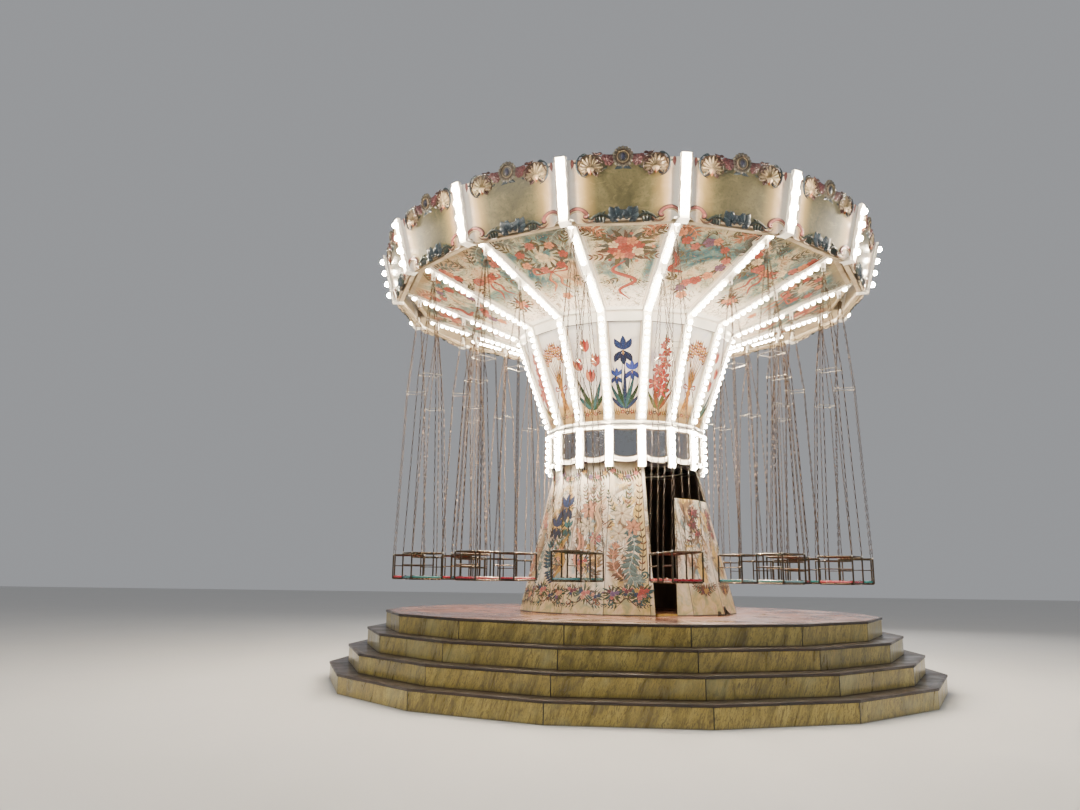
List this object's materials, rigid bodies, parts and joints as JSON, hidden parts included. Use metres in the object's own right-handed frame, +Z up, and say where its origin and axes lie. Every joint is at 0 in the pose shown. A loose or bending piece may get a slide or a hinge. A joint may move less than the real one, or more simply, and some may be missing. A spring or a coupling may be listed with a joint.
{
  "type": "fairground chair swing carousel",
  "caption": "Round stepped platform with a painted booth tower, a lit cone and canopy with a leaning crown band, and rows of chairs hanging on chains.",
  "frame": {"origin": "centre of the platform on the ground", "axes": "+Z up along the axis of rotation; -Y towards the doorway side of the booth tower, which is the side seen in the picture"},
  "size_m": [7.7522, 7.7522, 6.05],
  "materials": {
    "marbled_laminate": "glossy wood-streaked laminate on boards",
    "deck_boards": "varnished red-brown boards, glossy",
    "tower_paint": "satin cream paint with painted decoration",
    "steel": "dark satin paint",
    "white_frame": "satin white paint",
    "mirror": "bevelled mirror panes",
    "cone_paint": "satin pale grey-cream paint with painted decoration",
    "canopy_paint": "satin pale sky paint with painted decoration",
    "crown_paint": "satin khaki-gold paint with painted ornament",
    "roof_sheet": "coated canvas",
    "threshold_wood": "yellow-painted wood",
    "seat_red": "glossy crimson paint, dark frame and steel chains",
    "seat_teal": "glossy teal paint, dark frame and steel chains",
    "chain_steel": "dull galvanised steel with brown tarnish",
    "gilt": "dull gold paint on carved ornament",
    "lamp": "frosted white bulb, lit"
  },
  "bodies": {
    "base": {"step_1": "marbled_laminate", "step_2": "marbled_laminate", "step_3": "marbled_laminate", "deck_riser": "marbled_laminate", "platform_deck": "deck_boards", "base_frame": "steel", "mast": "steel", "tower_front_panels": "tower_paint", "tower_left_panels": "tower_paint", "tower_rear_panels": "tower_paint", "tower_right_panels": "tower_paint", "tower_half_panel": "tower_paint", "tower_head_ring": "steel", "door_threshold": "threshold_wood"},
    "rotor": {"rotor_frame": "steel", "drum_frame": "white_frame", "drum_mirrors": "mirror", "cone_frame": "white_frame", "cone_panels": "cone_paint", "canopy_frame": "white_frame", "canopy_sheets": "canopy_paint", "crown_band": "crown_paint", "crown_frame": "white_frame", "roof": "roof_sheet"},
    "chair_outer_01": {"chair_outer_01": "seat_red"},
    "chair_outer_02": {"chair_outer_02": "seat_teal"},
    "chair_outer_03": {"chair_outer_03": "seat_red"},
    "chair_outer_04": {"chair_outer_04": "seat_teal"},
    "chair_outer_05": {"chair_outer_05": "seat_red"},
    "chair_outer_06": {"chair_outer_06": "seat_teal"},
    "chair_outer_07": {"chair_outer_07": "seat_red"},
    "chair_outer_08": {"chair_outer_08": "seat_teal"},
    "chair_outer_09": {"chair_outer_09": "seat_red"},
    "chair_outer_10": {"chair_outer_10": "seat_teal"},
    "chair_outer_11": {"chair_outer_11": "seat_red"},
    "chair_outer_12": {"chair_outer_12": "seat_teal"},
    "chair_outer_13": {"chair_outer_13": "seat_red"},
    "chair_outer_14": {"chair_outer_14": "seat_teal"},
    "chair_outer_15": {"chair_outer_15": "seat_red"},
    "chair_outer_16": {"chair_outer_16": "seat_teal"},
    "chair_inner_01": {"chair_inner_01": "seat_red"},
    "chair_inner_02": {"chair_inner_02": "seat_teal"},
    "chair_inner_03": {"chair_inner_03": "seat_red"},
    "chair_inner_04": {"chair_inner_04": "seat_teal"},
    "chair_inner_05": {"chair_inner_05": "seat_red"},
    "chair_inner_06": {"chair_inner_06": "seat_teal"},
    "chair_inner_07": {"chair_inner_07": "seat_red"},
    "chair_inner_08": {"chair_inner_08": "seat_teal"},
    "chair_inner_09": {"chair_inner_09": "seat_red"},
    "chair_inner_10": {"chair_inner_10": "seat_teal"},
    "chair_inner_11": {"chair_inner_11": "seat_red"},
    "chair_inner_12": {"chair_inner_12": "seat_teal"},
    "chair_inner_13": {"chair_inner_13": "seat_red"},
    "chair_inner_14": {"chair_inner_14": "seat_teal"},
    "chair_inner_15": {"chair_inner_15": "seat_red"},
    "chair_inner_16": {"chair_inner_16": "seat_teal"}
  },
  "joints": [
    {"name": "spin", "type": "hinge", "parent": "base", "child": "rotor", "pos_m": [0, 0, 3.25], "axis": [0, 0, 1], "continuous": true},
    {"name": "fly_out_outer_01", "type": "hinge", "parent": "rotor", "child": "chair_outer_01", "pos_m": [0.5802, -2.91686, 5.129], "axis": [-0.9808, -0.1951, 0], "range_deg": [0, 35]},
    {"name": "fly_out_outer_02", "type": "hinge", "parent": "rotor", "child": "chair_outer_02", "pos_m": [1.65227, -2.47279, 5.129], "axis": [-0.8315, -0.5556, 0], "range_deg": [0, 35]},
    {"name": "fly_out_outer_03", "type": "hinge", "parent": "rotor", "child": "chair_outer_03", "pos_m": [2.47279, -1.65227, 5.129], "axis": [-0.5556, -0.8315, 0], "range_deg": [0, 35]},
    {"name": "fly_out_outer_04", "type": "hinge", "parent": "rotor", "child": "chair_outer_04", "pos_m": [2.91686, -0.5802, 5.129], "axis": [-0.1951, -0.9808, 0], "range_deg": [0, 35]},
    {"name": "fly_out_outer_05", "type": "hinge", "parent": "rotor", "child": "chair_outer_05", "pos_m": [2.91686, 0.5802, 5.129], "axis": [0.1951, -0.9808, 0], "range_deg": [0, 35]},
    {"name": "fly_out_outer_06", "type": "hinge", "parent": "rotor", "child": "chair_outer_06", "pos_m": [2.47279, 1.65227, 5.129], "axis": [0.5556, -0.8315, 0], "range_deg": [0, 35]},
    {"name": "fly_out_outer_07", "type": "hinge", "parent": "rotor", "child": "chair_outer_07", "pos_m": [1.65227, 2.47279, 5.129], "axis": [0.8315, -0.5556, 0], "range_deg": [0, 35]},
    {"name": "fly_out_outer_08", "type": "hinge", "parent": "rotor", "child": "chair_outer_08", "pos_m": [0.5802, 2.91686, 5.129], "axis": [0.9808, -0.1951, 0], "range_deg": [0, 35]},
    {"name": "fly_out_outer_09", "type": "hinge", "parent": "rotor", "child": "chair_outer_09", "pos_m": [-0.5802, 2.91686, 5.129], "axis": [0.9808, 0.1951, 0], "range_deg": [0, 35]},
    {"name": "fly_out_outer_10", "type": "hinge", "parent": "rotor", "child": "chair_outer_10", "pos_m": [-1.65227, 2.47279, 5.129], "axis": [0.8315, 0.5556, 0], "range_deg": [0, 35]},
    {"name": "fly_out_outer_11", "type": "hinge", "parent": "rotor", "child": "chair_outer_11", "pos_m": [-2.47279, 1.65227, 5.129], "axis": [0.5556, 0.8315, 0], "range_deg": [0, 35]},
    {"name": "fly_out_outer_12", "type": "hinge", "parent": "rotor", "child": "chair_outer_12", "pos_m": [-2.91686, 0.5802, 5.129], "axis": [0.1951, 0.9808, 0], "range_deg": [0, 35]},
    {"name": "fly_out_outer_13", "type": "hinge", "parent": "rotor", "child": "chair_outer_13", "pos_m": [-2.91686, -0.5802, 5.129], "axis": [-0.1951, 0.9808, 0], "range_deg": [0, 35]},
    {"name": "fly_out_outer_14", "type": "hinge", "parent": "rotor", "child": "chair_outer_14", "pos_m": [-2.47279, -1.65227, 5.129], "axis": [-0.5556, 0.8315, 0], "range_deg": [0, 35]},
    {"name": "fly_out_outer_15", "type": "hinge", "parent": "rotor", "child": "chair_outer_15", "pos_m": [-1.65227, -2.47279, 5.129], "axis": [-0.8315, 0.5556, 0], "range_deg": [0, 35]},
    {"name": "fly_out_outer_16", "type": "hinge", "parent": "rotor", "child": "chair_outer_16", "pos_m": [-0.5802, -2.91686, 5.129], "axis": [-0.9808, 0.1951, 0], "range_deg": [0, 35]},
    {"name": "fly_out_inner_01", "type": "hinge", "parent": "rotor", "child": "chair_inner_01", "pos_m": [0.45593, -2.2921, 4.878], "axis": [-0.9808, -0.1951, 0], "range_deg": [0, 35]},
    {"name": "fly_out_inner_02", "type": "hinge", "parent": "rotor", "child": "chair_inner_02", "pos_m": [1.29837, -1.94314, 4.878], "axis": [-0.8315, -0.5556, 0], "range_deg": [0, 35]},
    {"name": "fly_out_inner_03", "type": "hinge", "parent": "rotor", "child": "chair_inner_03", "pos_m": [1.94314, -1.29837, 4.878], "axis": [-0.5556, -0.8315, 0], "range_deg": [0, 35]},
    {"name": "fly_out_inner_04", "type": "hinge", "parent": "rotor", "child": "chair_inner_04", "pos_m": [2.2921, -0.45593, 4.878], "axis": [-0.1951, -0.9808, 0], "range_deg": [0, 35]},
    {"name": "fly_out_inner_05", "type": "hinge", "parent": "rotor", "child": "chair_inner_05", "pos_m": [2.2921, 0.45593, 4.878], "axis": [0.1951, -0.9808, 0], "range_deg": [0, 35]},
    {"name": "fly_out_inner_06", "type": "hinge", "parent": "rotor", "child": "chair_inner_06", "pos_m": [1.94314, 1.29837, 4.878], "axis": [0.5556, -0.8315, 0], "range_deg": [0, 35]},
    {"name": "fly_out_inner_07", "type": "hinge", "parent": "rotor", "child": "chair_inner_07", "pos_m": [1.29837, 1.94314, 4.878], "axis": [0.8315, -0.5556, 0], "range_deg": [0, 35]},
    {"name": "fly_out_inner_08", "type": "hinge", "parent": "rotor", "child": "chair_inner_08", "pos_m": [0.45593, 2.2921, 4.878], "axis": [0.9808, -0.1951, 0], "range_deg": [0, 35]},
    {"name": "fly_out_inner_09", "type": "hinge", "parent": "rotor", "child": "chair_inner_09", "pos_m": [-0.45593, 2.2921, 4.878], "axis": [0.9808, 0.1951, 0], "range_deg": [0, 35]},
    {"name": "fly_out_inner_10", "type": "hinge", "parent": "rotor", "child": "chair_inner_10", "pos_m": [-1.29837, 1.94314, 4.878], "axis": [0.8315, 0.5556, 0], "range_deg": [0, 35]},
    {"name": "fly_out_inner_11", "type": "hinge", "parent": "rotor", "child": "chair_inner_11", "pos_m": [-1.94314, 1.29837, 4.878], "axis": [0.5556, 0.8315, 0], "range_deg": [0, 35]},
    {"name": "fly_out_inner_12", "type": "hinge", "parent": "rotor", "child": "chair_inner_12", "pos_m": [-2.2921, 0.45593, 4.878], "axis": [0.1951, 0.9808, 0], "range_deg": [0, 35]},
    {"name": "fly_out_inner_13", "type": "hinge", "parent": "rotor", "child": "chair_inner_13", "pos_m": [-2.2921, -0.45593, 4.878], "axis": [-0.1951, 0.9808, 0], "range_deg": [0, 35]},
    {"name": "fly_out_inner_14", "type": "hinge", "parent": "rotor", "child": "chair_inner_14", "pos_m": [-1.94314, -1.29837, 4.878], "axis": [-0.5556, 0.8315, 0], "range_deg": [0, 35]},
    {"name": "fly_out_inner_15", "type": "hinge", "parent": "rotor", "child": "chair_inner_15", "pos_m": [-1.29837, -1.94314, 4.878], "axis": [-0.8315, 0.5556, 0], "range_deg": [0, 35]},
    {"name": "fly_out_inner_16", "type": "hinge", "parent": "rotor", "child": "chair_inner_16", "pos_m": [-0.45593, -2.2921, 4.878], "axis": [-0.9808, 0.1951, 0], "range_deg": [0, 35]}
  ],
  "couplings": [
    {"joint": "fly_out_outer_02", "follows": "fly_out_outer_01", "ratio": 1},
    {"joint": "fly_out_outer_03", "follows": "fly_out_outer_01", "ratio": 1},
    {"joint": "fly_out_outer_04", "follows": "fly_out_outer_01", "ratio": 1},
    {"joint": "fly_out_outer_05", "follows": "fly_out_outer_01", "ratio": 1},
    {"joint": "fly_out_outer_06", "follows": "fly_out_outer_01", "ratio": 1},
    {"joint": "fly_out_outer_07", "follows": "fly_out_outer_01", "ratio": 1},
    {"joint": "fly_out_outer_08", "follows": "fly_out_outer_01", "ratio": 1},
    {"joint": "fly_out_outer_09", "follows": "fly_out_outer_01", "ratio": 1},
    {"joint": "fly_out_outer_10", "follows": "fly_out_outer_01", "ratio": 1},
    {"joint": "fly_out_outer_11", "follows": "fly_out_outer_01", "ratio": 1},
    {"joint": "fly_out_outer_12", "follows": "fly_out_outer_01", "ratio": 1},
    {"joint": "fly_out_outer_13", "follows": "fly_out_outer_01", "ratio": 1},
    {"joint": "fly_out_outer_14", "follows": "fly_out_outer_01", "ratio": 1},
    {"joint": "fly_out_outer_15", "follows": "fly_out_outer_01", "ratio": 1},
    {"joint": "fly_out_outer_16", "follows": "fly_out_outer_01", "ratio": 1},
    {"joint": "fly_out_inner_01", "follows": "fly_out_outer_01", "ratio": 1},
    {"joint": "fly_out_inner_02", "follows": "fly_out_outer_01", "ratio": 1},
    {"joint": "fly_out_inner_03", "follows": "fly_out_outer_01", "ratio": 1},
    {"joint": "fly_out_inner_04", "follows": "fly_out_outer_01", "ratio": 1},
    {"joint": "fly_out_inner_05", "follows": "fly_out_outer_01", "ratio": 1},
    {"joint": "fly_out_inner_06", "follows": "fly_out_outer_01", "ratio": 1},
    {"joint": "fly_out_inner_07", "follows": "fly_out_outer_01", "ratio": 1},
    {"joint": "fly_out_inner_08", "follows": "fly_out_outer_01", "ratio": 1},
    {"joint": "fly_out_inner_09", "follows": "fly_out_outer_01", "ratio": 1},
    {"joint": "fly_out_inner_10", "follows": "fly_out_outer_01", "ratio": 1},
    {"joint": "fly_out_inner_11", "follows": "fly_out_outer_01", "ratio": 1},
    {"joint": "fly_out_inner_12", "follows": "fly_out_outer_01", "ratio": 1},
    {"joint": "fly_out_inner_13", "follows": "fly_out_outer_01", "ratio": 1},
    {"joint": "fly_out_inner_14", "follows": "fly_out_outer_01", "ratio": 1},
    {"joint": "fly_out_inner_15", "follows": "fly_out_outer_01", "ratio": 1},
    {"joint": "fly_out_inner_16", "follows": "fly_out_outer_01", "ratio": 1}
  ]
}
